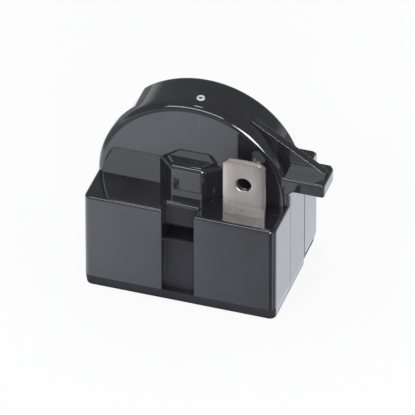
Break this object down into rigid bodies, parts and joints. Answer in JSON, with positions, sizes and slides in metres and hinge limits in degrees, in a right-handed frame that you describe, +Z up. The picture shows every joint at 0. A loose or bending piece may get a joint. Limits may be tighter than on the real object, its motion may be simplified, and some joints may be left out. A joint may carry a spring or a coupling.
{
  "type": "compressor start relay",
  "caption": "PTC start relay for a refrigerator compressor: moulded base with a round drum, quick-connect tab, latch ear and two pin sockets.",
  "frame": {"origin": "middle of the base's underside, halfway between the front and rear faces of the blocks", "axes": "+X to the side with the ear and the tab, +Y from the front to the rear with the pin holes, +Z up"},
  "size_m": [0.0339, 0.0204, 0.0306],
  "materials": {
    "black_plastic": "moulded, glossy, a little finer on the outer faces than in the recess",
    "silvered_ceramic": "dull silver electrode on grey ceramic",
    "tinned_brass": "dull tinned sheet",
    "spring_bronze": "rolled bronze strip",
    "socket_brass": "rolled brass",
    "clip_steel": "plain spring steel"
  },
  "bodies": {
    "root": {"housing": "black_plastic", "rear_cover": "black_plastic", "ptc_pill": "silvered_ceramic", "front_spring": "spring_bronze", "rear_spring": "spring_bronze", "tab_terminal": "tinned_brass", "start_terminal": "tinned_brass", "run_socket": "socket_brass", "start_socket": "socket_brass", "run_socket_clip": "clip_steel", "start_socket_clip": "clip_steel", "run_rivet": "clip_steel", "start_rivet": "clip_steel"}
  },
  "joints": []
}
